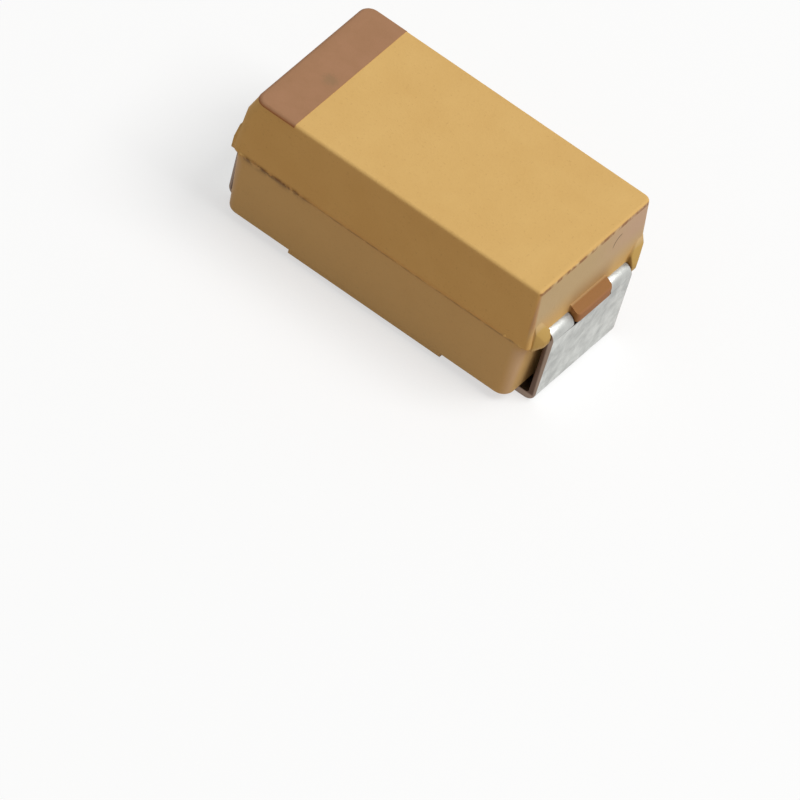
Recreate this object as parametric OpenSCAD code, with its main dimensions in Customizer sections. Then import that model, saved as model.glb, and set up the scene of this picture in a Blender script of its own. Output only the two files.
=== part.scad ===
// Surface-mount tantalum capacitor with a moulded case, size class 6032.
// The origin is at the middle of the footprint, on the plane it is soldered to.
// +X points to the cathode end, -X to the marked anode end, and +Z is up.

/* [Moulded case] */
// Length of the case at its parting line
case_length = 5.90; // [5.6:0.02:6.4]
// Width of the case at its parting line
case_width = 3.10; // [2.9:0.02:3.4]
// Height of the whole part, from the board to the top face
part_height = 2.665; // [2.55:0.005:2.8]
// Height of the parting line above the board
parting_height = 1.445; // [1.35:0.005:1.5]
// How far the mould's draft brings each upper long wall in at the top
upper_draft = 0.05; // [0.02:0.01:0.08]
// How far it brings each upper end wall in at the top
end_draft = 0.075; // [0.05:0.005:0.12]
// How far the mould's draft brings each lower long wall in at the bottom
lower_draft = 0.04; // [0.02:0.01:0.08]
// How far it brings each lower end wall in at the bottom
lower_end_draft = 0.10; // [0.06:0.01:0.13]
// How far the lower half stands back from the upper half at the long sides
side_step = 0.02; // [0:0.01:0.04]
// How far the lower half stands back from the upper half at the ends
end_step = 0.07; // [0.04:0.01:0.1]
// Height of the steep bevel on the top edge of the anode end
bevel_height = 0.40; // [0.2:0.02:0.6]
// Depth of that bevel along the case
bevel_depth = 0.12; // [0.05:0.01:0.18]
// Radius of the upright corners at the cathode end of the upper half
cathode_corner = 0.09; // [0.07:0.01:0.2]
// Radius of the upright corners at the anode end of the upper half
anode_corner = 0.19; // [0.1:0.01:0.25]
// Radius of the upright corners of the lower half
lower_corner = 0.22; // [0.15:0.01:0.3]
// Radius along the edges of the top face
top_edge = 0.055; // [0.03:0.005:0.09]
// Radius along the edges of the underside
bottom_edge = 0.05; // [0.03:0.005:0.09]

/* [Underside] */
// Height of the shallow recess over each terminal's foot
recess_depth = 0.075; // [0.05:0.005:0.1]
// Length of that recess, from the end of the lower half
recess_length = 1.28; // [1.2:0.02:1.4]

/* [Terminals] */
// Thickness of the lead frame strip
strip = 0.13; // [0.1:0.01:0.16]
// Width of each terminal
terminal_width = 2.12; // [1.9:0.01:2.3]
// How far the cathode terminal's outer face stands off the end of the case
cathode_reach = 0.16; // [0.14:0.005:0.18]
// How far the anode terminal's outer face stands off the end of the case
anode_reach = 0.09; // [0.08:0.005:0.18]
// How far a terminal's leg leans in on its way down
leg_lean = 0.04; // [0:0.01:0.06]
// Radius of the terminal's bends, at the middle of the strip
bend_radius = 0.12; // [0.1:0.01:0.15]
// Length of each foot, from its terminal's outer face
foot_length = 1.30; // [1.15:0.01:1.35]
// Gap between a foot and the case above it
foot_gap = 0.03; // [0.02:0.005:0.05]
// Width of the window in each terminal's upper bend
window_width = 0.98; // [0.7:0.02:1.2]
// How far the window reaches below the parting line
window_drop = 0.06; // [0.03:0.01:0.1]
// How far the window reaches in from the end of the case
window_depth = 0.16; // [0.1:0.01:0.2]

/* [Moulded tongue and wings] */
// How far the tongue in the window sticks out of the end of the case
tongue_reach = 0.19; // [0.16:0.01:0.24]
// Gap between the tongue and each side of the window
tongue_gap = 0.02; // [0.01:0.01:0.04]
// Height of the tongue's outer edge
tongue_height = 0.15; // [0.13:0.01:0.2]
// How far the tongue's root slopes up the end of the case, above that edge
tongue_slope = 0.11; // [0.05:0.01:0.25]
// Radius of the tongue's outer corners
tongue_corner = 0.08; // [0.04:0.01:0.12]
// Height of the wings above the parting line
wing_rise = 0.47; // [0.35:0.01:0.55]
// How far the wings hang below the parting line
wing_drop = 0.07; // [0.04:0.01:0.1]
// Width of a wing where it stands out furthest
wing_width = 0.16; // [0.1:0.01:0.22]
// Height of a wing beside its terminal, where it begins to rise towards the corner
wing_shoulder = 0.20; // [0.14:0.01:0.3]
// How far a wing stands out at the corner of the case
wing_lip = 0.02; // [0.01:0.01:0.04]
// How far a wing stays back from the long side of the case
wing_margin = 0.05; // [0.03:0.01:0.08]
// How far a wing stays behind its terminal's outer face
wing_setback = 0.05; // [0.03:0.01:0.07]
// How far a wing is rooted in the lower half
wing_root = 0.06; // [0.04:0.01:0.1]
// Gap between a wing and the side of its terminal
wing_gap = 0.02; // [0.01:0.005:0.04]

/* [Polarity band] */
// Width of the printed band on the anode end of the top face
band_width = 0.78; // [0.5:0.02:1.2]
// Thickness of the printed ink, which lies flush in the face
ink = 0.008; // [0.005:0.001:0.012]

/* [Anode pellet] */
// Length of the sintered pellet
pellet_length = 3.60; // [3.2:0.05:3.7]
// Width of the sintered pellet
pellet_width = 2.10; // [1.7:0.02:2.2]
// Height of the sintered pellet
pellet_height = 1.40; // [1.1:0.02:1.5]
// Thickness of the graphite coat
graphite = 0.03; // [0.02:0.005:0.04]
// Thickness of the silver coat
silver = 0.04; // [0.02:0.005:0.06]
// Width of the margin that each coat leaves bare round the wire's end
coat_margin = 0.10; // [0.05:0.01:0.2]

/* [Wire and washer] */
// Diameter of the tantalum wire
wire_diameter = 0.24; // [0.2:0.01:0.28]
// Length of the wire inside the pellet
wire_anchor = 1.20; // [0.8:0.05:1.6]
// Length of the wire between the anode tab and the pellet
wire_bare = 0.40; // [0.3:0.01:0.5]
// Length of the wire that is welded to the anode tab
wire_lap = 0.42; // [0.3:0.01:0.45]
// Height of the weld between the wire and the tab
weld_height = 0.02; // [0.01:0.005:0.03]
// Width of the weld
weld_width = 0.16; // [0.1:0.01:0.2]
// Diameter of the insulating washer
washer_diameter = 0.84; // [0.7:0.02:1.1]
// Thickness of the insulating washer
washer_thickness = 0.10; // [0.08:0.01:0.14]

/* [Inner lead frame] */
// Length of the anode tab inside the case
anode_tab_length = 0.75; // [0.7:0.01:0.8]
// Width of the anode tab
anode_tab_width = 1.20; // [0.9:0.05:1.5]
// Length over which each terminal keeps its full width inside the case
neck_length = 0.28; // [0.24:0.01:0.34]
// Width of the tab that holds the pellet
cathode_tab_width = 1.50; // [1.2:0.05:1.8]
// Length of the tab that lies over the pellet
cathode_tab_length = 1.50; // [1:0.05:2]
// Gap between the silver coat and the rising part of that tab
riser_gap = 0.06; // [0.04:0.01:0.1]
// Thickness of the silver adhesive between that tab and the coat
adhesive = 0.04; // [0.02:0.01:0.06]
// How far the adhesive stays back from the edges of the tab
adhesive_inset = 0.15; // [0.1:0.01:0.25]

/* [Hidden] */

// Heights above the plane that the part is soldered to
recess_z = strip + foot_gap;
pad_z = recess_z - recess_depth;
parting_z = parting_height;
top_z = part_height;
strip_z = parting_z + strip / 2;

// Ends and sides at the parting line
end_x = case_length / 2;
side_y = case_width / 2;
lower_x = end_x - end_step;
lower_y = side_y - side_step;
terminal_y = terminal_width / 2;
pad_x = lower_x - lower_end_draft - recess_length;

// The wire hangs under the anode tab, and the pellet is centred on the wire
anode_tab_x = anode_tab_length - end_x;
pellet_x = anode_tab_x + wire_bare;
pellet_end_x = pellet_x + pellet_length;
wire_z = parting_z - weld_height - wire_diameter / 2;

// The cathode tab rises behind the coated pellet and lies over it
coats = graphite + silver;
coat_end_x = pellet_end_x + coats;
coat_top_z = wire_z + pellet_height / 2 + coats;
riser_x = coat_end_x + riser_gap + strip / 2;
shelf_z = coat_top_z + adhesive + strip / 2;
shelf_x = coat_end_x - cathode_tab_length;

disc = 0.001;   // thickness of the discs that a drafted half is drawn over
cut = 1;        // how far a cutting solid runs past what it cuts
ROUNDING = [0, 30, 60, 90];   // steps round an edge, in degrees
BEND_STEPS = 12;   // flats round one bend of a terminal

module moulded_case() {
    color("#D3A765") difference() {
        union() {
            upper_half(0);
            lower_half();
            middle_pad();
            for (end = [0, 1]) mirror([end, 0, 0]) {
                tongue();
                for (side = [0, 1]) mirror([0, side, 0])
                    wing(end == 0 ? cathode_reach : anode_reach);
            }
        }
        band_skin();
        anode_frame();
        cathode_frame();
        pellet_block(0, 0);
        pellet_block(graphite, coat_margin);
        pellet_block(coats, 2 * coat_margin);
        wire();
        washer();
        weld_block();
        adhesive_layer();
    }
}

// Both halves are drawn over rounded outlines, one above the other
module outline(anode_x, cathode_x, y, anode_r, cathode_r, z) {
    for (side = [-1, 1]) {
        translate([anode_x + anode_r, side * (y - anode_r), z - disc])
            cylinder(r = anode_r, h = disc, $fn = 32);
        translate([cathode_x - cathode_r, side * (y - cathode_r), z - disc])
            cylinder(r = cathode_r, h = disc, $fn = 32);
    }
}

function upper_rise(z) = (z - parting_z) / (top_z - parting_z);
function bevel_inset(z) = bevel_depth * max(0, 1 - (top_z - z) / bevel_height);
function lower_drop(z) = (parting_z - z) / (parting_z - pad_z);

// An upper half with its walls and top moved out by grow
module upper_half(grow) {
    hull() {
        upper_outline(parting_z + disc, 0, grow);
        upper_outline(top_z - bevel_height, 0, grow);
        for (a = ROUNDING)
            upper_outline(top_z - top_edge * (1 - sin(a)), top_edge * (1 - cos(a)), grow);
    }
}

module upper_outline(z, inset, grow) {
    edge = inset - grow;
    x = end_x - edge - end_draft * upper_rise(z);
    outline(bevel_inset(z) - x, x, side_y - edge - upper_draft * upper_rise(z),
            anode_corner - edge, cathode_corner - edge, z + grow);
}

module lower_half() {
    hull() {
        lower_outline(lower_x, lower_corner, parting_z, 0);
        for (a = ROUNDING)
            lower_outline(lower_x, lower_corner, disc + recess_z + bottom_edge * (1 - sin(a)),
                          bottom_edge * (1 - cos(a)));
    }
}

module lower_outline(x, corner, z, inset) {
    end = x - inset - lower_end_draft * lower_drop(z);
    outline(-end, end, lower_y - inset - lower_draft * lower_drop(z),
            corner - inset, corner - inset, z);
}

// The underside is lower between the feet
module middle_pad() {
    half = lower_y - lower_draft;
    rotate([90, 0, 90]) linear_extrude(2 * pad_x, center = true) {
        translate([-half, pad_z + bottom_edge]) square([2 * half, bottom_edge]);
        translate([bottom_edge - half, pad_z]) square([2 * (half - bottom_edge), 2 * bottom_edge]);
        for (side = [-1, 1])
            translate([side * (half - bottom_edge), pad_z + bottom_edge])
                circle(bottom_edge, $fn = 64);
    }
}

// A tongue of case material fills the window in a terminal and sticks out of it
module tongue() {
    half = window_width / 2 - tongue_gap;
    tip_x = end_x + tongue_reach;
    round_x = tip_x - tongue_corner;
    root_x = end_x - window_depth;
    intersection() {
        translate([0, 0, parting_z]) linear_extrude(tongue_height + tongue_slope) {
            translate([root_x, -half]) square([round_x - root_x, 2 * half]);
            translate([round_x - disc, tongue_corner - half])
                square([tongue_corner + disc, 2 * (half - tongue_corner)]);
            for (side = [-1, 1])
                translate([round_x, side * (half - tongue_corner)]) circle(tongue_corner, $fn = 32);
        }
        rotate([90, 0, 0]) linear_extrude(window_width, center = true)
            translate([0, parting_z]) polygon([
                [root_x, 0], [tip_x, 0], [tip_x, tongue_height],
                [end_x, tongue_height + tongue_slope], [root_x, tongue_height + tongue_slope]]);
    }
}

// A wing beside a terminal, cut to its outline from above, from the side and from the end
module wing(reach) {
    inner = terminal_y + wing_gap;
    outer = side_y - upper_draft - wing_margin;
    tip_x = end_x + reach - wing_setback;
    root_x = lower_x - lower_end_draft * lower_drop(parting_z - wing_drop) - wing_root;
    low = parting_z - wing_drop;
    high = parting_z + wing_rise;
    shoulder = parting_z + wing_shoulder;
    intersection() {
        translate([0, 0, low]) linear_extrude(high - low) polygon([
            [root_x, inner], [tip_x, inner], [tip_x, inner + wing_width],
            [end_x + wing_lip, outer], [root_x, outer]]);
        rotate([90, 0, 0]) translate([0, 0, -outer]) linear_extrude(outer - inner) polygon([
            [root_x, low], [tip_x, low], [tip_x, parting_z + strip / 2],
            [end_x - end_draft * upper_rise(high), high], [root_x, high]]);
        rotate([90, 0, 90]) linear_extrude(tip_x) polygon([
            [inner, low], [outer, low], [outer, high - wing_lip], [outer - wing_lip, high],
            [outer - wing_width, high], [inner, shoulder]]);
    }
}

module anode_terminal() {
    color("#C4C6C2") anode_frame();
}

module cathode_terminal() {
    color("#C4C6C2") cathode_frame();
}

module anode_frame() {
    mirror([1, 0, 0])
        lead_frame([[end_x - anode_tab_length, strip_z]], anode_tab_width, anode_reach);
}

module cathode_frame() {
    lead_frame([[shelf_x, shelf_z], [riser_x, shelf_z], [riser_x, strip_z]],
               cathode_tab_width, cathode_reach);
}

// One lead frame: its tab inside the case, then the bends, leg and foot outside
module lead_frame(tab, tab_width, reach) {
    face_x = end_x + reach - strip / 2;
    outside = [[face_x, strip_z], [face_x - leg_lean, strip / 2],
               [end_x + reach - foot_length, strip / 2]];
    difference() {
        rotate([90, 0, 0]) linear_extrude(terminal_width, center = true)
            bent_strip(concat(tab, outside));
        for (side = [0, 1]) mirror([0, side, 0])
            translate([-end_x, tab_width / 2, parting_z - disc])
                cube([2 * end_x - neck_length, terminal_width, top_z]);
        translate([end_x - window_depth, -window_width / 2, parting_z - window_drop])
            cube([window_depth + cut, window_width, top_z]);
    }
}

// A strip of even thickness along a path, with a bend at each inner point
module bent_strip(path) {
    polygon(concat(strip_edge(path, strip / 2), reversed(strip_edge(path, -strip / 2))));
}

// The strip's edge on one side of the path, as far from its middle as offset says
function strip_edge(path, offset) = [
    path[0] + offset * left_of(path, 0),
    for (i = [1 : len(path) - 2], k = [0 : BEND_STEPS]) bend_point(path, i, offset, k / BEND_STEPS),
    path[len(path) - 1] + offset * left_of(path, len(path) - 2)];

function bend_point(path, i, offset, part) =
    let (side = sign(turn(path, i)), way = heading(path[i - 1], path[i]),
         centre = path[i] - setback(path, i) * along(way) + side * bend_radius * along(way + 90))
    centre + (bend_radius - side * offset) * along(way - side * 90 + part * turn(path, i));

function along(angle) = [cos(angle), sin(angle)];
function left_of(path, i) = along(heading(path[i], path[i + 1]) + 90);
function reversed(list) = [for (i = [len(list) - 1 : -1 : 0]) list[i]];
function heading(a, b) = atan2(b[1] - a[1], b[0] - a[0]);
function wrapped(a) = a > 180 ? a - 360 : a < -180 ? a + 360 : a;
function turn(path, i) = wrapped(heading(path[i], path[i + 1]) - heading(path[i - 1], path[i]));
function setback(path, i) = bend_radius * tan(abs(turn(path, i)) / 2);

module polarity_band() {
    color("#A97A54") band_skin();
}

// The band lies flush in the top face and its rounded edges, at the anode end
module band_skin() {
    far_x = end_x - end_draft - bevel_depth;
    intersection() {
        difference() {
            upper_half(0);
            upper_half(-ink);
        }
        translate([-end_x, -side_y, top_z - top_edge])
            cube([end_x - far_x + band_width, 2 * side_y, cut]);
    }
}

module tantalum_pellet() {
    color("#3C3C40") difference() {
        pellet_block(0, 0);
        wire();
    }
}

module graphite_coat() {
    color("#2A2A2C") difference() {
        pellet_block(graphite, coat_margin);
        pellet_block(0, -cut);
    }
}

module silver_coat() {
    color("#B4B4AE") difference() {
        pellet_block(coats, 2 * coat_margin);
        pellet_block(graphite, -cut);
    }
}

// The pellet's block, thickened by grow and starting some way along from the wire's end
module pellet_block(grow, start) {
    translate([pellet_x + start, -pellet_width / 2 - grow, wire_z - pellet_height / 2 - grow])
        cube([pellet_length - start + grow, pellet_width + 2 * grow, pellet_height + 2 * grow]);
}

module tantalum_wire() {
    color("#8A8C90") wire();
}

module wire() {
    wire_rod(anode_tab_x - wire_lap, pellet_x + wire_anchor, wire_diameter);
}

module wire_rod(from_x, to_x, diameter) {
    translate([from_x, 0, wire_z]) rotate([0, 90, 0])
        cylinder(d = diameter, h = to_x - from_x, $fn = 48);
}

module insulating_washer() {
    color("#F0F0EC") difference() {
        washer();
        wire();
    }
}

module washer() {
    wire_rod(pellet_x - washer_thickness, pellet_x, washer_diameter);
}

module wire_weld() {
    color("#9A9A98") difference() {
        weld_block();
        wire();
    }
}

module weld_block() {
    translate([anode_tab_x - wire_lap, -weld_width / 2, wire_z])
        cube([wire_lap, weld_width, parting_z - wire_z]);
}

module silver_adhesive() {
    color("#A8A8A2") adhesive_layer();
}

module adhesive_layer() {
    length = cathode_tab_length - 2 * adhesive_inset;
    width = cathode_tab_width - 2 * adhesive_inset;
    translate([shelf_x + adhesive_inset, -width / 2, coat_top_z]) cube([length, width, adhesive]);
}

moulded_case();
polarity_band();
anode_terminal();
cathode_terminal();
tantalum_pellet();
graphite_coat();
silver_coat();
tantalum_wire();
insulating_washer();
wire_weld();
silver_adhesive();
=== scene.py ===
import math

import bmesh
import bpy
from mathutils import Matrix, Vector


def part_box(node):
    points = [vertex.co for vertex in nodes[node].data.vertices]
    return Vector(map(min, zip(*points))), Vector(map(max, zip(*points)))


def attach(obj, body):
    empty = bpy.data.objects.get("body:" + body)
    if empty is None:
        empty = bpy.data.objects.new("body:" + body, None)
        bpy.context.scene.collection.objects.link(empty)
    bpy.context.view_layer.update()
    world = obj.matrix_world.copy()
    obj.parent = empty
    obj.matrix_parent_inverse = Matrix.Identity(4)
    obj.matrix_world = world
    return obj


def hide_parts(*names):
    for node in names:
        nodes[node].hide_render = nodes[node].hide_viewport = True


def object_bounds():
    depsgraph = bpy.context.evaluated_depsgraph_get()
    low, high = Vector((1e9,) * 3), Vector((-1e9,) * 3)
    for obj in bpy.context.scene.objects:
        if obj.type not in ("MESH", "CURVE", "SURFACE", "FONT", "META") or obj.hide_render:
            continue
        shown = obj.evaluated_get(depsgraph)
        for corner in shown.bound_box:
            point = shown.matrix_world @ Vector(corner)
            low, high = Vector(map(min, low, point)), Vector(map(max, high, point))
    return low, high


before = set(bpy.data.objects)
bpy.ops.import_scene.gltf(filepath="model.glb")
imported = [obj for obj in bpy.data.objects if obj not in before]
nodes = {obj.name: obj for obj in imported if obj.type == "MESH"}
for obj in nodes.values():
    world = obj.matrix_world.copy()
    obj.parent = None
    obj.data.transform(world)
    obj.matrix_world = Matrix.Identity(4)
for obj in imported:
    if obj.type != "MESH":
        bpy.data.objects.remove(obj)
cad_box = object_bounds()
bpy.ops.object.select_all(action="DESELECT")

# Modelling is done in millimetres, and each finished piece is then scaled to metres.
MM = 0.001


def mm_box(node):
    low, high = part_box(node)
    return Vector(low) / MM, Vector(high) / MM


# ---- the part's sizes, in millimetres ----
case_low, case_high = mm_box("moulded_case")
washer_low, washer_high = mm_box("insulating_washer")
TERMINAL_Y = mm_box("cathode_terminal")[1].y
BAND_EDGE_X = mm_box("polarity_band")[1].x
TONGUE_X = case_high.x
TOP_Z, PAD_Z = case_high.z, case_low.z
PARTING_Z = 1.445
RECESS_Z = 0.16

# half length and half width at the parting line, of the upper and of the lower half
END_X, SIDE_Y = 2.95, case_high.y
LOWER_X, LOWER_Y = END_X - 0.07, SIDE_Y - 0.02

# how far the mould's draft brings each wall in
END_DRAFT, SIDE_DRAFT = 0.075, 0.05
LOWER_END_DRAFT, LOWER_SIDE_DRAFT = 0.10, 0.04

BEVEL_HEIGHT, BEVEL_DEPTH = 0.40, 0.12
NEAR_CORNER, FAR_CORNER, ANODE_CORNER, LOWER_CORNER = 0.06, 0.13, 0.19, 0.22
TOP_ROUND, BOTTOM_ROUND = 0.055, 0.05
SAG, SAG_REACH = 0.028, 2.8      # the parting line's dip, and where it ends along the case
RECESS_LENGTH = 1.28
TONGUE_HALF, TONGUE_ROOT, TONGUE_HEIGHT, TONGUE_SLOPE = 0.47, 0.16, 0.15, 0.11
WING_RISE, WING_DROP, WING_WIDTH, WING_SHOULDER = 0.47, 0.07, 0.16, 0.20
WING_MARGIN, WING_SETBACK, WING_LIP, WING_GAP, WING_ROOT = 0.05, 0.05, 0.02, 0.02, 0.08
HALF_STRIP = 0.065
STATION = 0.25                   # distance between the cuts across the case
RUN_ON = 0.01                    # how far a room runs on into its neighbour
INK = 0.006
NEXT_TO = 0.001                  # closer than this counts as in the same plane


# ---- modelling helpers ----
def block(name, low, high):
    """A new block between two corners, left in edit mode."""
    low, high = Vector(low), Vector(high)
    bpy.ops.object.select_all(action="DESELECT")
    bpy.ops.mesh.primitive_cube_add(size=1, location=(low + high) / 2, scale=high - low)
    piece = bpy.context.object
    piece.name = name
    bpy.ops.object.transform_apply(location=True, rotation=True, scale=True)
    bpy.ops.object.mode_set(mode="EDIT")
    bpy.ops.mesh.select_mode(type="VERT")
    return piece


def pick(kind, test):
    """Selects the vertices, edges or faces whose middle passes a test, in edit mode."""
    mesh = bpy.context.object.data
    bpy.ops.mesh.select_mode(type=kind)
    bpy.ops.mesh.select_all(action="DESELECT")
    shape = bmesh.from_edit_mesh(mesh)
    if kind == "VERT":
        for v in shape.verts:
            v.select = test(v.co)
    elif kind == "EDGE":
        for e in shape.edges:
            e.select = test((e.verts[0].co + e.verts[1].co) / 2, (e.verts[1].co - e.verts[0].co).normalized())
    else:
        for f in shape.faces:
            f.select = test(f.calc_center_median(), f.normal)
    shape.select_flush_mode()
    bmesh.update_edit_mesh(mesh)


def upright(direction):
    return abs(direction.z) > 0.9


def level(direction):
    return abs(direction.z) < 0.01


def scale_about(centre, x=1.0, y=1.0, z=1.0):
    bpy.ops.transform.resize(value=(x, y, z), center_override=centre)


def round_edges(test, radius, steps=4):
    pick("EDGE", test)
    bpy.ops.mesh.bevel(offset=radius, segments=steps, profile=0.5, affect="EDGES", clamp_overlap=False)


def slice_at(point, normal, trim=False):
    """Cuts every face by a plane. A trimmed piece loses what lies on the normal's side."""
    bpy.ops.mesh.select_mode(type="VERT")
    bpy.ops.mesh.select_all(action="SELECT")
    bpy.ops.mesh.bisect(plane_co=point, plane_no=normal, clear_outer=trim, use_fill=trim)


def finish_editing(piece):
    bpy.ops.mesh.select_mode(type="VERT")
    bpy.ops.mesh.select_all(action="SELECT")
    bpy.ops.mesh.remove_doubles(threshold=0.0002)
    bpy.ops.mesh.normals_make_consistent(inside=False)
    bpy.ops.object.mode_set(mode="OBJECT")
    return piece


def only(piece):
    bpy.ops.object.select_all(action="DESELECT")
    piece.select_set(True)
    bpy.context.view_layer.objects.active = piece


def apply_modifier(piece, kind, **settings):
    only(piece)
    mod = piece.modifiers.new(kind.lower(), kind)
    for name, value in settings.items():
        setattr(mod, name, value)
    bpy.ops.object.modifier_apply(modifier=mod.name)


def combine(piece, tool, how):
    apply_modifier(piece, "BOOLEAN", object=tool, operation=how, solver="EXACT")
    bpy.data.objects.remove(tool)


def mirrored(piece, name, axis):
    """A copy with its own mesh, mirrored in the middle plane across one axis."""
    only(piece)
    bpy.ops.object.duplicate()
    twin = bpy.context.object
    twin.name = name
    flip = [1.0, 1.0, 1.0]
    flip[axis] = -1.0
    twin.scale = flip
    bpy.ops.object.transform_apply(location=True, rotation=True, scale=True)
    bpy.ops.object.mode_set(mode="EDIT")
    return finish_editing(twin)


# ---- the moulded case ----
def upper_half():
    piece = block("upper_half", (-END_X, -SIDE_Y, PARTING_Z), (END_X, SIDE_Y, TOP_Z))
    # the draft of the mould
    pick("FACE", lambda p, n: n.z > 0.9)
    scale_about((0, 0, TOP_Z), (END_X - END_DRAFT) / END_X, (SIDE_Y - SIDE_DRAFT) / SIDE_Y)
    # the steep bevel on the anode end
    slice_at((0, 0, TOP_Z - BEVEL_HEIGHT), (0, 0, 1))
    pick("VERT", lambda p: p.z > TOP_Z - NEXT_TO and p.x < 0)
    bpy.ops.transform.translate(value=(BEVEL_DEPTH, 0, 0))
    # upright corners: crisp at the near cathode corner, rounder elsewhere
    round_edges(lambda p, d: upright(d) and p.x > 0 and p.y < 0, NEAR_CORNER, 4)
    round_edges(lambda p, d: upright(d) and p.x > 0 and p.y > 0, FAR_CORNER, 6)
    round_edges(lambda p, d: upright(d) and p.x < 0, ANODE_CORNER, 8)
    round_edges(lambda p, d: p.z > TOP_Z - NEXT_TO and level(d), TOP_ROUND, 5)
    # narrow strips beside the edges keep the broad walls flat round the small marks
    slice_at((0, 0, PARTING_Z + 0.06), (0, 0, 1))
    slice_at((0, 0, TOP_Z - 0.11), (0, 0, 1))
    # stations along the case, for the parting line and the band's edge
    for i in range(-11, 12):
        slice_at((i * STATION, 0, 0), (1, 0, 0))
    slice_at((BAND_EDGE_X, 0, 0), (1, 0, 0))
    # the parting edge sags a little towards the middle
    shape = bmesh.from_edit_mesh(piece.data)
    for v in shape.verts:
        if v.co.z < PARTING_Z + NEXT_TO:
            v.co.z -= SAG * max(0.0, 1 - (v.co.x / SAG_REACH) ** 2)
    bmesh.update_edit_mesh(piece.data)
    return finish_editing(piece)


def lower_half():
    piece = block("lower_half", (-LOWER_X, -LOWER_Y, RECESS_Z), (LOWER_X, LOWER_Y, PARTING_Z + 0.06))
    drop = (PARTING_Z - RECESS_Z) / (PARTING_Z - PAD_Z)
    pick("FACE", lambda p, n: n.z < -0.9)
    scale_about((0, 0, RECESS_Z), (LOWER_X - LOWER_END_DRAFT * drop) / LOWER_X,
                (LOWER_Y - LOWER_SIDE_DRAFT * drop) / LOWER_Y)
    round_edges(lambda p, d: upright(d), LOWER_CORNER, 8)
    round_edges(lambda p, d: p.z < RECESS_Z + NEXT_TO and level(d), BOTTOM_ROUND, 4)
    slice_at((0, 0, PARTING_Z - 0.09), (0, 0, 1))
    return finish_editing(piece)


def middle_pad():
    half = LOWER_Y - LOWER_SIDE_DRAFT
    length = LOWER_X - LOWER_END_DRAFT - RECESS_LENGTH
    piece = block("middle_pad", (-length, -half, PAD_Z), (length, half, RECESS_Z + 0.05))
    round_edges(lambda p, d: p.z < PAD_Z + NEXT_TO and abs(d.x) > 0.9, BOTTOM_ROUND, 4)
    round_edges(lambda p, d: p.z < PAD_Z + NEXT_TO and abs(d.y) > 0.9, 0.015, 2)
    return finish_editing(piece)


def tongue():
    high, slope = PARTING_Z + TONGUE_HEIGHT, PARTING_Z + TONGUE_HEIGHT + TONGUE_SLOPE
    piece = block("tongue", (END_X - TONGUE_ROOT, -TONGUE_HALF, PARTING_Z), (TONGUE_X, TONGUE_HALF, slope))
    slice_at((TONGUE_X, 0, high), (slope - high, 0, TONGUE_X - END_X), trim=True)
    round_edges(lambda p, d: p.x > TONGUE_X - NEXT_TO and upright(d), 0.08, 5)
    round_edges(lambda p, d: p.z > high - NEXT_TO and p.x > END_X + 0.01 and abs(d.z) < 0.4, 0.02, 3)
    return finish_editing(piece)


def wing(reach, name):
    """One wing on the far side of the cathode end, beside a terminal that stands out by its reach."""
    inner_leg_shade, outer = TERMINAL_Y + WING_GAP, SIDE_Y - SIDE_DRAFT - WING_MARGIN
    tip_x = END_X + reach - WING_SETBACK
    low, high, shoulder = PARTING_Z - WING_DROP, PARTING_Z + WING_RISE, PARTING_Z + WING_SHOULDER
    lean_z = PARTING_Z + HALF_STRIP
    wall_x = END_X - END_DRAFT * WING_RISE / (TOP_Z - PARTING_Z)
    piece = block(name, (LOWER_X - WING_ROOT, inner_leg_shade, low), (tip_x, outer, high))
    # cut back towards the corner of the case, seen from above
    slice_at((tip_x, inner_leg_shade + WING_WIDTH, 0),
             (outer - inner_leg_shade - WING_WIDTH, tip_x - END_X - WING_LIP, 0), trim=True)
    # the outer face leans back to the wall
    slice_at((tip_x, 0, lean_z), (high - lean_z, 0, tip_x - wall_x), trim=True)
    # the slope down to the shoulder beside the terminal
    slice_at((0, inner_leg_shade, shoulder), (0, shoulder - high, outer - WING_WIDTH - inner_leg_shade), trim=True)
    round_edges(lambda p, d: p.x > LOWER_X + 0.03, 0.014, 2)
    return finish_editing(piece)


case = upper_half()
combine(case, lower_half(), "UNION")
combine(case, middle_pad(), "UNION")
cathode_tongue = tongue()
anode_tongue = mirrored(cathode_tongue, "anode_tongue", 0)
cathode_wing = wing(mm_box("cathode_terminal")[1].x - END_X, "cathode_wing")
anode_wing = wing(-mm_box("anode_terminal")[0].x - END_X, "anode_wing")
anode_wing_far = mirrored(anode_wing, "anode_wing_far", 0)
bpy.data.objects.remove(anode_wing)
for extra in (cathode_tongue, anode_tongue,
              mirrored(cathode_wing, "cathode_wing_near", 1), cathode_wing,
              mirrored(anode_wing_far, "anode_wing_near", 1), anode_wing_far):
    combine(case, extra, "UNION")
case.name = "epoxy_case"


# ---- small marks of moulding and handling ----
def beads(places, name):
    """Small faceted lumps at the given places, as one solid."""
    lumps = []
    for x, y, z, radius, stretch in places:
        bpy.ops.mesh.primitive_ico_sphere_add(subdivisions=2, radius=radius, location=(x, y, z))
        lump = bpy.context.object
        lump.scale = (stretch, 1.0, 1.0) if abs(x) < 2.85 else (1.0, stretch, 1.0)
        bpy.ops.object.transform_apply(location=True, rotation=True, scale=True)
        lumps.append(lump)
    bpy.ops.object.select_all(action="DESELECT")
    for lump in lumps:
        lump.select_set(True)
    bpy.context.view_layer.objects.active = lumps[0]
    bpy.ops.object.join()
    lumps[0].name = name
    return lumps[0]


NEAR = -SIDE_Y
END_EDGE = END_X - END_DRAFT
RIM_Y, RIM_Z = NEAR * 0.972, TOP_Z - 0.012

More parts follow.
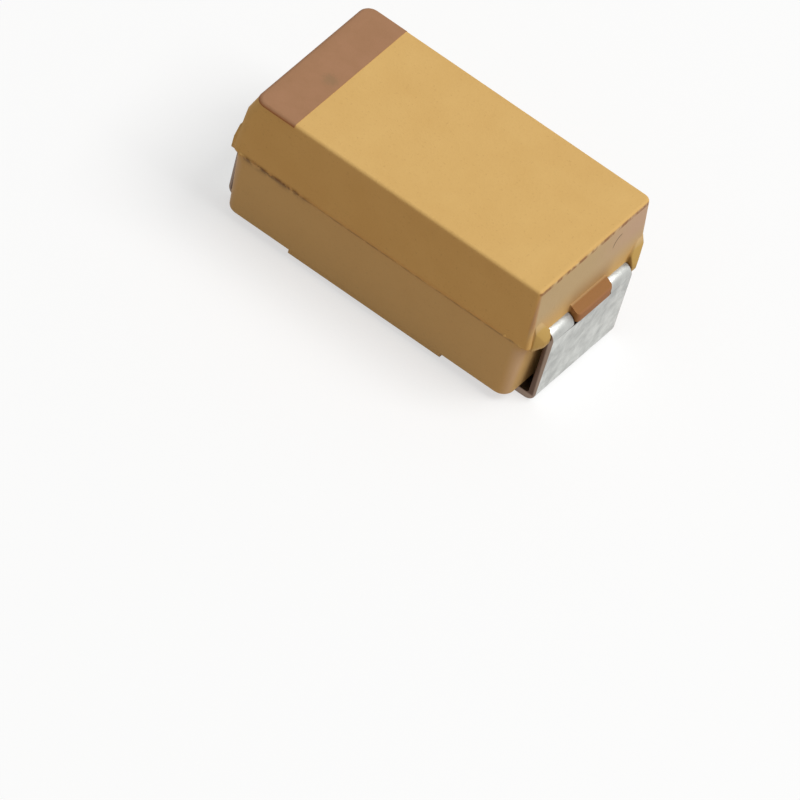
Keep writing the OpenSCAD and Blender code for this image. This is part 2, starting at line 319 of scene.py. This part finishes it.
# x, y, z, radius, and how many times longer than wide
pits = [(-2.33, NEAR, 1.42, 0.034, 1.5), (-2.07, NEAR, 1.41, 0.048, 1.1), (-1.83, NEAR, 1.41, 0.034, 1.4),
        (-1.65, NEAR, 1.405, 0.036, 1.6), (-1.40, NEAR, 1.41, 0.018, 2.5), (-0.95, NEAR, 1.41, 0.016, 2.0),
        (0.42, NEAR, 1.405, 0.018, 2.6), (1.18, NEAR, 1.41, 0.020, 2.2), (1.85, NEAR, 1.42, 0.018, 2.0),
        (2.63, NEAR, 1.43, 0.030, 2.4),
        (END_EDGE, -1.07, TOP_Z, 0.022, 1.8), (END_EDGE, -0.86, TOP_Z, 0.018, 1.5),
        (END_EDGE, -0.51, TOP_Z, 0.034, 1.0), (END_EDGE, -0.16, TOP_Z, 0.022, 2.2),
        (END_EDGE, 0.16, TOP_Z, 0.020, 1.6), (END_EDGE, 0.56, TOP_Z, 0.024, 1.4),
        (END_EDGE, 0.78, TOP_Z, 0.020, 1.8), (END_EDGE, 1.15, TOP_Z, 0.018, 1.6),
        (-0.4, RIM_Y, RIM_Z, 0.016, 2.5), (1.3, RIM_Y, RIM_Z, 0.014, 2.2)]
nubs = [(-2.73, NEAR + 0.012, 1.45, 0.034, 1.4), (2.50, NEAR + 0.010, 1.452, 0.030, 1.3),
        (2.80, NEAR + 0.014, 1.434, 0.026, 2.6), (-2.90, -1.36, 1.46, 0.045, 1.0)]
combine(case, beads(nubs, "nubs"), "UNION")
combine(case, beads(pits, "pits"), "DIFFERENCE")


# ---- the case is cast round what lies inside it ----
def node_copy(node, name):
    """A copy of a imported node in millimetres, with its triangles merged."""
    mesh = nodes[node].data.copy()
    piece = bpy.data.objects.new(name, mesh)
    bpy.context.scene.collection.objects.link(piece)
    piece.scale = (1 / MM,) * 3
    only(piece)
    bpy.ops.object.transform_apply(location=True, rotation=True, scale=True)
    bpy.ops.object.mode_set(mode="EDIT")
    return finish_editing(piece)


def room_for(node, below=0.0, above=0.0):
    """A block over a node's box, run on into what touches it so that the rooms join."""
    low, high = mm_box(node)
    piece = block("room", low - Vector((0, 0, below)), high + Vector((0, 0, above)))
    return finish_editing(piece)


for coated in ("silver_coat", "graphite_coat", "tantalum_pellet"):
    combine(case, room_for(coated), "DIFFERENCE")
bpy.ops.mesh.primitive_cylinder_add(
    vertices=48, radius=(washer_high.y - washer_low.y) / 2, depth=washer_high.x - washer_low.x + RUN_ON,
    location=((washer_low.x + washer_high.x + RUN_ON) / 2, 0, (washer_low.z + washer_high.z) / 2),
    rotation=(0, math.pi / 2, 0))
washer_room = bpy.context.object
bpy.ops.object.transform_apply(location=True, rotation=True, scale=True)
combine(case, washer_room, "DIFFERENCE")
combine(case, node_copy("tantalum_wire", "wire_room"), "DIFFERENCE")
combine(case, room_for("wire_weld", RUN_ON, RUN_ON), "DIFFERENCE")
combine(case, room_for("silver_adhesive", RUN_ON, RUN_ON), "DIFFERENCE")
combine(case, node_copy("anode_terminal", "anode_room"), "DIFFERENCE")
combine(case, node_copy("cathode_terminal", "cathode_room"), "DIFFERENCE")
only(case)
bpy.ops.object.mode_set(mode="EDIT")
bpy.ops.mesh.select_all(action="SELECT")
bpy.ops.mesh.remove_doubles(threshold=0.003)
bpy.ops.mesh.dissolve_degenerate(threshold=0.0005)
bpy.ops.object.mode_set(mode="OBJECT")


# ---- the printed band: a thin film over the top face and its rounded edges ----
only(case)
bpy.ops.object.duplicate()
band = bpy.context.object
band.name = "printed_band"
bpy.ops.object.mode_set(mode="EDIT")
pick("FACE", lambda p, n: not (p.x < BAND_EDGE_X and p.z > TOP_Z - TOP_ROUND - NEXT_TO and n.z > 0.02))
bpy.ops.mesh.delete(type="FACE")
bpy.ops.object.mode_set(mode="OBJECT")
apply_modifier(band, "SOLIDIFY", thickness=INK, offset=1.0)


# ---- the terminals: the strip's cut edges are slightly broken ----
def terminal(node, name):
    piece = node_copy(node, name)
    bpy.ops.object.mode_set(mode="EDIT")
    bpy.ops.mesh.select_all(action="SELECT")
    bpy.ops.mesh.dissolve_limited(angle_limit=math.radians(1))
    bpy.ops.object.mode_set(mode="OBJECT")
    apply_modifier(piece, "BEVEL", width=0.012, segments=3, limit_method="ANGLE", angle_limit=math.radians(50))
    return piece


anode_terminal = terminal("anode_terminal", "anode_strip")
cathode_terminal = terminal("cathode_terminal", "cathode_strip")


# ---- colours and materials ----
def hexa(code):
    parts = [int(code[i:i + 2], 16) / 255 for i in (1, 3, 5)]
    return tuple(c / 12.92 if c <= 0.04045 else ((c + 0.055) / 1.055) ** 2.4 for c in parts) + (1.0,)


def add(tree, kind, inputs=(), **settings):
    """Adds one node. Its inputs are values, or the sockets that they come from."""
    node = tree.nodes.new(kind)
    for name, value in settings.items():
        setattr(node, name, value)
    for name, value in dict(inputs).items():
        if isinstance(value, bpy.types.NodeSocket):
            tree.links.new(value, node.inputs[name])
        else:
            node.inputs[name].default_value = value
    return node


def new_material(name, metallic, roughness, specular=0.5):
    material = bpy.data.materials.new(name)
    material.use_nodes = True
    tree = material.node_tree
    shader = tree.nodes["Principled BSDF"]
    shader.inputs["Metallic"].default_value = metallic
    shader.inputs["Roughness"].default_value = roughness
    shader.inputs["Specular IOR Level"].default_value = specular
    # patterns are laid out in millimetres
    place = add(tree, "ShaderNodeTexCoord")
    mm = add(tree, "ShaderNodeMapping", {"Vector": place.outputs["Object"], "Scale": (1 / MM,) * 3})
    return material, tree, shader, mm.outputs["Vector"]


def grained(name, dark, light, grain, metallic, roughness, bump, specular=0.5):
    """A finish of two tones in grains of a size in millimetres, with its relief in millimetres."""
    material, tree, shader, mm = new_material(name, metallic, roughness, specular)
    noise = add(tree, "ShaderNodeTexNoise",
                {"Vector": mm, "Scale": 1 / grain, "Detail": 4.0, "Roughness": 0.6})
    tone = add(tree, "ShaderNodeMix", {0: noise.outputs["Fac"], 6: hexa(dark), 7: hexa(light)},
               data_type="RGBA")
    tree.links.new(tone.outputs[2], shader.inputs["Base Color"])
    relief = add(tree, "ShaderNodeBump",
                 {"Height": noise.outputs["Fac"], "Strength": 1.0, "Distance": bump * MM})
    tree.links.new(relief.outputs["Normal"], shader.inputs["Normal"])
    return material


# middle and radius of the curved scratch on the end wall
SCRATCH_Y, SCRATCH_Z, SCRATCH_RADIUS = 0.75, 2.19, 0.22


def moulded_epoxy():
    """Silica-filled epoxy moulding compound, from a spark-eroded mould: a matt tan skin with faint
    clouding and fine grain, browner along the parting line, with painted shade round the tongues, a painted
    sheen on the end wall and painted floor light on the lower half."""
    material, tree, shader, mm = new_material("tan moulded epoxy", 0.0, 0.62, 0.22)
    axis = add(tree, "ShaderNodeSeparateXYZ", {"Vector": mm}).outputs
    clouds = add(tree, "ShaderNodeTexNoise",
                 {"Vector": mm, "Scale": 1 / 0.7, "Detail": 5.0, "Roughness": 0.6})
    colour = add(tree, "ShaderNodeMix", {0: clouds.outputs["Fac"], 6: hexa("#D3A863"), 7: hexa("#DEB671")},
                 data_type="RGBA").outputs[2]
    grain = add(tree, "ShaderNodeTexNoise",
                {"Vector": mm, "Scale": 1 / 0.045, "Detail": 3.0, "Roughness": 0.65})
    speckle = add(tree, "ShaderNodeMapRange", {0: grain.outputs["Fac"], 1: 0.60, 2: 0.74, 3: 0.0, 4: 0.30})
    colour = add(tree, "ShaderNodeMix", {0: speckle.outputs[0], 6: colour, 7: hexa("#A87C48")},
                 data_type="RGBA").outputs[2]

    def stain_or_painted_light(colour, tint, strength, *bounds):
        """Tints the colour inside soft limits, each an axis value with its edges from clear to full, for real
        marks and for painted light and shade.
        """
        amount = None
        for value, clear, full in bounds:
            edge = add(tree, "ShaderNodeMapRange", {0: value, 1: clear, 2: full, 3: 0.0, 4: 1.0},
                       interpolation_type="SMOOTHSTEP").outputs[0]
            amount = edge if amount is None else add(
                tree, "ShaderNodeMath", {0: amount, 1: edge}, operation="MULTIPLY").outputs[0]
        amount = add(tree, "ShaderNodeMath", {0: amount, 1: strength}, operation="MULTIPLY").outputs[0]
        return add(tree, "ShaderNodeMix", {0: amount, 6: colour, 7: hexa(tint)}, data_type="RGBA").outputs[2]

    out_x = add(tree, "ShaderNodeMath", {0: axis["X"]}, operation="ABSOLUTE").outputs[0]
    out_y = add(tree, "ShaderNodeMath", {0: axis["Y"]}, operation="ABSOLUTE").outputs[0]
    patches = add(tree, "ShaderNodeTexNoise", {"Vector": mm, "Scale": 1 / 0.16, "Detail": 4.0}).outputs["Fac"]

    # tongues with painted shade on their tops and a painted highlight on their lower rims, the painted shade
    # above them, and the gap on both sides
    colour = stain_or_painted_light(colour, "#875727", 0.85, (out_x, 2.93, 2.98), (out_y, 0.53, 0.47))
    colour = stain_or_painted_light(colour, "#A97658", 0.70, (out_x, 3.095, 3.13), (out_y, 0.53, 0.47))
    colour = stain_or_painted_light(colour, "#94653A", 0.55, (out_x, 2.84, 2.90), (out_y, 0.75, 0.35),
                   (axis["Z"], 2.15, 1.80))
    colour = stain_or_painted_light(colour, "#B89A55", 0.7, (out_x, 2.93, 2.98), (out_y, 1.02, 1.06))
    # the parting line carries a brown trace, darkest near the anode end
    colour = stain_or_painted_light(colour, "#7A4F2C", 0.55, (patches, 0.40, 0.60), (out_y, 1.50, 1.53),
                   (axis["Z"], 1.37, 1.40), (axis["Z"], 1.45, 1.425))
    colour = stain_or_painted_light(colour, "#7D5228", 0.60, (patches, 0.30, 0.60), (out_y, 1.48, 1.51),
                   (axis["X"], -1.20, -1.75), (axis["X"], -2.80, -2.60),
                   (axis["Z"], 1.27, 1.40), (axis["Z"], 1.53, 1.44))
    colour = stain_or_painted_light(colour, "#5E381C", 0.70, (patches, 0.38, 0.55), (out_y, 1.50, 1.53),
                   (axis["X"], -1.30, -1.80), (axis["X"], -2.75, -2.55),
                   (axis["Z"], 1.35, 1.40), (axis["Z"], 1.50, 1.43))
    # a painted sheen makes the end wall paler, pinker towards its far top corner
    colour = stain_or_painted_light(colour, "#B9AE93", 0.62, (axis["X"], 2.86, 2.885), (out_x, 2.975, 2.955),
                   (axis["Z"], 1.50, 2.15))
    colour = stain_or_painted_light(colour, "#C9A795", 0.60, (axis["X"], 2.86, 2.885), (out_x, 2.975, 2.955),
                   (axis["Y"], -0.2, 1.3), (axis["Z"], 1.75, 2.3))
    # the end wall turns a pinker brown at its near upright corner
    colour = stain_or_painted_light(colour, "#C08D62", 0.60, (axis["X"], 2.84, 2.88), (axis["Y"], -1.44, -1.49),
                   (axis["Z"], 1.7, 2.0))
    # the lower half is painted paler, as light thrown up from the floor, and the inner faces of the wings are
    # painted darker, as the shade between wing and wall
    colour = stain_or_painted_light(colour, "#CDB58A", 0.35, (axis["Z"], 1.46, 1.40))
    colour = stain_or_painted_light(colour, "#6E4A1E", 0.75, (out_x, 2.93, 2.98), (out_y, 1.06, 1.065), (out_y, 1.13, 1.09),
                   (axis["Y"], 0.9, 1.0))
    # the lower upright corners are coloured paler and pinker
    colour = stain_or_painted_light(colour, "#DCC0A6", 0.50, (out_x, 2.62, 2.80), (out_y, 1.30, 1.42),
                   (axis["Z"], 1.38, 1.20))
    # one curved scratch on the end wall
    on_wall = add(tree, "ShaderNodeCombineXYZ", {"Y": axis["Y"], "Z": axis["Z"]}).outputs[0]
    ring = add(tree, "ShaderNodeVectorMath", {0: on_wall, 1: (0.0, SCRATCH_Y, SCRATCH_Z)},
               operation="DISTANCE").outputs["Value"]
    ring = add(tree, "ShaderNodeMath", {0: ring, 1: SCRATCH_RADIUS}, operation="SUBTRACT").outputs[0]
    ring = add(tree, "ShaderNodeMath", {0: ring}, operation="ABSOLUTE").outputs[0]
    colour = stain_or_painted_light(colour, "#5E4A38", 0.75, (ring, 0.020, 0.008), (axis["X"], 2.86, 2.885),
                   (axis["Y"], 0.52, 0.55), (axis["Y"], 0.77, 0.71), (axis["Z"], 2.20, 2.26))
    # rubbed top edge at the ends
    colour = stain_or_painted_light(colour, "#855432", 0.80, (patches, 0.36, 0.60), (out_x, 2.83, 2.875),
                   (axis["Z"], 2.565, 2.60), (axis["Z"], 2.65, 2.63))
    tree.links.new(colour, shader.inputs["Base Color"])
    waves = add(tree, "ShaderNodeBump",
                {"Height": clouds.outputs["Fac"], "Strength": 1.0, "Distance": 0.012 * MM})
    relief = add(tree, "ShaderNodeBump", {"Height": grain.outputs["Fac"], "Strength": 1.0,
                                          "Distance": 0.0035 * MM, "Normal": waves.outputs["Normal"]})
    tree.links.new(relief.outputs["Normal"], shader.inputs["Normal"])
    return material


def printed_ink():
    """Brown marking ink, pad printed and baked: a thin, slightly mottled coat with one dull smudge,
    redder where it thins out on the edges."""
    material, tree, shader, mm = new_material("brown marking ink", 0.0, 0.6, 0.22)
    axis = add(tree, "ShaderNodeSeparateXYZ", {"Vector": mm}).outputs
    clouds = add(tree, "ShaderNodeTexNoise",
                 {"Vector": mm, "Scale": 1 / 0.35, "Detail": 5.0, "Roughness": 0.65})
    colour = add(tree, "ShaderNodeMix", {0: clouds.outputs["Fac"], 6: hexa("#9C7350"), 7: hexa("#AD8060")},
                 data_type="RGBA").outputs[2]
    grain = add(tree, "ShaderNodeTexNoise",
                {"Vector": mm, "Scale": 1 / 0.05, "Detail": 3.0, "Roughness": 0.65})
    smudge = add(tree, "ShaderNodeVectorMath", {0: mm, 1: (-2.18, -0.30, TOP_Z)},
                 operation="DISTANCE").outputs["Value"]
    ragged = add(tree, "ShaderNodeMath", {0: grain.outputs["Fac"], 1: 0.22, 2: smudge},
                 operation="MULTIPLY_ADD").outputs[0]
    spot = add(tree, "ShaderNodeMapRange", {0: ragged, 1: 0.30, 2: 0.14, 3: 0.0, 4: 0.5},
               interpolation_type="SMOOTHSTEP").outputs[0]
    colour = add(tree, "ShaderNodeMix", {0: spot, 6: colour, 7: hexa("#8A7050")}, data_type="RGBA").outputs[2]
    rim = add(tree, "ShaderNodeMapRange",
              {0: axis["Z"], 1: TOP_Z - 0.010, 2: TOP_Z - 0.045, 3: 0.0, 4: 0.75}).outputs[0]
    colour = add(tree, "ShaderNodeMix", {0: rim, 6: colour, 7: hexa("#A0602F")}, data_type="RGBA").outputs[2]
    tree.links.new(colour, shader.inputs["Base Color"])
    relief = add(tree, "ShaderNodeBump",
                 {"Height": grain.outputs["Fac"], "Strength": 1.0, "Distance": 0.003 * MM})
    tree.links.new(relief.outputs["Normal"], shader.inputs["Normal"])
    return material


def tinned_strip():
    """Matt tin plate on punched copper-alloy strip: a mottled pale grey metal that is scuffed in
    patches, with bare pinkish-brown metal on the cut sides."""
    material, tree, shader, mm = new_material("matt tin on copper strip", 1.0, 0.38)
    axis = add(tree, "ShaderNodeSeparateXYZ", {"Vector": mm}).outputs
    patches = add(tree, "ShaderNodeTexNoise", {"Vector": mm, "Scale": 1 / 0.30, "Detail": 6.0,
                                               "Roughness": 0.62, "Distortion": 0.3})
    spread = add(tree, "ShaderNodeMapRange",
                 {0: patches.outputs["Fac"], 1: 0.36, 2: 0.64, 3: 0.0, 4: 1.0}).outputs[0]
    colour = add(tree, "ShaderNodeMix", {0: spread, 6: hexa("#AFB0AD"), 7: hexa("#C9CAC6")},
                 data_type="RGBA").outputs[2]
    side = add(tree, "ShaderNodeMath", {0: axis["Y"]}, operation="ABSOLUTE").outputs[0]
    cut = add(tree, "ShaderNodeMapRange",
              {0: side, 1: TERMINAL_Y - 0.012, 2: TERMINAL_Y - 0.004, 3: 0.0, 4: 1.0}).outputs[0]
    colour = add(tree, "ShaderNodeMix", {0: cut, 6: colour, 7: hexa("#8F7C6E")}, data_type="RGBA").outputs[2]
    # the punched edges of the window are bare metal, and painted darker still as the shadow under the tongues
    window_edge_shade = add(tree, "ShaderNodeMapRange", {0: side, 1: 0.506, 2: 0.494, 3: 0.0, 4: 1.0}).outputs[0]
    lip = add(tree, "ShaderNodeMapRange", {0: axis["Z"], 1: 1.365, 2: 1.378, 3: 0.0, 4: 1.0}).outputs[0]
    window_edge_shade = add(tree, "ShaderNodeMath", {0: window_edge_shade, 1: lip}, operation="MULTIPLY").outputs[0]
    colour = add(tree, "ShaderNodeMix", {0: window_edge_shade, 6: colour, 7: hexa("#4E3A2E")}, data_type="RGBA").outputs[2]
    # the inner face of each leg is painted dark, as the shade in the gap between leg and case
    leg = add(tree, "ShaderNodeMapRange", {0: axis["X"], 1: 3.045, 2: 3.02, 3: 0.0, 4: 1.0}).outputs[0]
    far_leg = add(tree, "ShaderNodeMapRange", {0: axis["X"], 1: -2.975, 2: -2.95, 3: 0.0, 4: 1.0}).outputs[0]
    inner_leg_shade = add(tree, "ShaderNodeMath", {0: leg, 1: far_leg}, operation="MULTIPLY").outputs[0]
    above = add(tree, "ShaderNodeMapRange", {0: axis["Z"], 1: 0.10, 2: 0.14, 3: 0.0, 4: 1.0}).outputs[0]
    below = add(tree, "ShaderNodeMapRange", {0: axis["Z"], 1: 1.42, 2: 1.36, 3: 0.0, 4: 1.0}).outputs[0]
    inner_leg_shade = add(tree, "ShaderNodeMath", {0: inner_leg_shade, 1: above}, operation="MULTIPLY").outputs[0]
    inner_leg_shade = add(tree, "ShaderNodeMath", {0: inner_leg_shade, 1: below}, operation="MULTIPLY").outputs[0]
    colour = add(tree, "ShaderNodeMix", {0: inner_leg_shade, 6: colour, 7: hexa("#5A463A")}, data_type="RGBA").outputs[2]
    tree.links.new(colour, shader.inputs["Base Color"])
    rough = add(tree, "ShaderNodeMapRange",
                {0: patches.outputs["Fac"], 1: 0.35, 2: 0.65, 3: 0.48, 4: 0.30}).outputs[0]
    tree.links.new(rough, shader.inputs["Roughness"])
    relief = add(tree, "ShaderNodeBump",
                 {"Height": patches.outputs["Fac"], "Strength": 1.0, "Distance": 0.010 * MM})
    tree.links.new(relief.outputs["Normal"], shader.inputs["Normal"])
    return material


epoxy = moulded_epoxy()
finishes = {
    # pressed and sintered tantalum powder: dark grey, dull and porous
    "tantalum_pellet": grained("sintered tantalum", "#2C2D31", "#55565B", 0.05, 0.6, 0.75, 0.012),
    # baked carbon paint: near black and matt
    "graphite_coat": grained("graphite paint", "#1B1B1D", "#303033", 0.04, 0.0, 0.7, 0.004),
    # flake silver paint: pale, soft metallic, slightly uneven
    "silver_coat": grained("silver paint", "#9C9B94", "#C6C5BE", 0.06, 0.85, 0.5, 0.005),
    # drawn tantalum wire: bluish grey, smooth
    "tantalum_wire": grained("drawn tantalum", "#7D8087", "#9A9DA3", 0.08, 1.0, 0.35, 0.002),
    # stamped fluoropolymer sheet: milky white and waxy
    "insulating_washer": grained("white fluoropolymer", "#E6E6E1", "#F1F1ED", 0.2, 0.0, 0.4, 0.002),
    # resistance weld: heat-tinted grey metal
    "wire_weld": grained("welded metal", "#6E6862", "#A09C96", 0.05, 1.0, 0.5, 0.006),
    # silver-filled epoxy glue: dull pale metal with lumps of filler
    "silver_adhesive": grained("silver-filled glue", "#8F8E87", "#B5B4AC", 0.05, 0.7, 0.6, 0.008),
}
tin = tinned_strip()
for name, node in nodes.items():
    node.data.materials.clear()
    node.data.materials.append(finishes.get(name, tin if "terminal" in name else epoxy))

for piece, material, node, slot in ((case, epoxy, "moulded_case", "moulded_epoxy"),
                                    (band, printed_ink(), "polarity_band", "printed_ink"),
                                    (anode_terminal, tin, "anode_terminal", "tinned_strip"),
                                    (cathode_terminal, tin, "cathode_terminal", "tinned_strip")):
    piece.data.materials.clear()
    piece.data.materials.append(material)
    only(piece)
    piece.scale = (MM,) * 3
    bpy.ops.object.transform_apply(location=True, rotation=True, scale=True)
    bpy.ops.object.shade_smooth_by_angle(angle=math.radians(35))
    apply_modifier(piece, "WEIGHTED_NORMAL", keep_sharp=True, weight=100)
    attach(piece, "root")
    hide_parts(node)

# ---- camera ----
LENS, SENSOR_WIDTH = 900.0, 36.0
FRAME_WIDTH = 12.5               # what the camera takes in at the part, in millimetres
scene = bpy.context.scene
right = Vector((0.7871, 0.5843, 0.1976)).normalized()
down = Vector((0.5430, -0.5044, -0.6714))
down = (down - right * down.dot(right)).normalized()
back = right.cross(-down).normalized()
cam_data = bpy.data.cameras.new("camera")
cam_data.lens = LENS
cam_data.sensor_width = SENSOR_WIDTH
cam_data.clip_start = 0.01
cam_data.clip_end = 5.0
cam = bpy.data.objects.new("camera", cam_data)
scene.collection.objects.link(cam)
look = Vector((1.167, -1.701, -0.999)) * MM
distance = FRAME_WIDTH * MM * LENS / SENSOR_WIDTH
turned = Matrix((right, -down, back)).transposed().to_4x4()
cam.matrix_world = Matrix.Translation(look + back * distance) @ turned
scene.camera = cam

# ---- floor, world and lamps ----
def seen_or_mirrored(tree):
    """1 for what the eye meets, directly, in a reflection or through glass, and 0 for light."""
    ray = add(tree, "ShaderNodeLightPath").outputs
    seen = add(tree, "ShaderNodeMath", {0: ray["Is Camera Ray"], 1: ray["Is Glossy Ray"]},
               operation="MAXIMUM").outputs[0]
    return add(tree, "ShaderNodeMath", {0: seen, 1: ray["Is Transmission Ray"]},
               operation="MAXIMUM").outputs[0]


bpy.ops.object.select_all(action="DESELECT")
# just below the feet, so that their faces and the floor's never meet
bpy.ops.mesh.primitive_plane_add(size=0.6, location=(0, 0, cad_box[0][2] - 0.002 * MM))
floor = bpy.context.object
floor.name = "floor"
# a white table for the eye and for reflections, which throws back only a soft warm light
paper = bpy.data.materials.new("white table")
paper.use_nodes = True
tree = paper.node_tree
tree.nodes.remove(tree.nodes["Principled BSDF"])
seen = seen_or_mirrored(tree)
soft = add(tree, "ShaderNodeBsdfDiffuse", {"Color": hexa("#C0A68C")})
paint = add(tree, "ShaderNodeBsdfDiffuse", {"Color": hexa("#FCFCFB")})
glow = add(tree, "ShaderNodeEmission", {"Color": hexa("#FFFFFF"), "Strength": 1.0})
white = add(tree, "ShaderNodeMixShader", {0: 0.6, 1: paint.outputs[0], 2: glow.outputs[0]})
table = add(tree, "ShaderNodeMixShader", {0: seen, 1: soft.outputs[0], 2: white.outputs[0]})
tree.links.new(table.outputs[0], tree.nodes["Material Output"].inputs["Surface"])
floor.data.materials.append(paper)

world = bpy.data.worlds.new("studio")
scene.world = world
world.use_nodes = True
tree = world.node_tree
seen = seen_or_mirrored(tree)
strength = add(tree, "ShaderNodeMapRange", {0: seen, 1: 0.0, 2: 1.0, 3: 0.35, 4: 1.0}).outputs[0]
tree.links.new(strength, tree.nodes["Background"].inputs["Strength"])
tree.nodes["Background"].inputs["Color"].default_value = (1, 1, 1, 1)


# one large soft lamp, high on the far side
key_light = bpy.data.lights.new("key", "AREA")
key_light.energy = 0.98
key_light.size = 0.22
key = bpy.data.objects.new("key", key_light)
key.location = (0.17, 0.06, 0.31)
key.rotation_euler = (Vector((0, 0, 1)) * MM - key.location).to_track_quat("-Z", "Y").to_euler()
scene.collection.objects.link(key)

scene.view_settings.view_transform = "Standard"
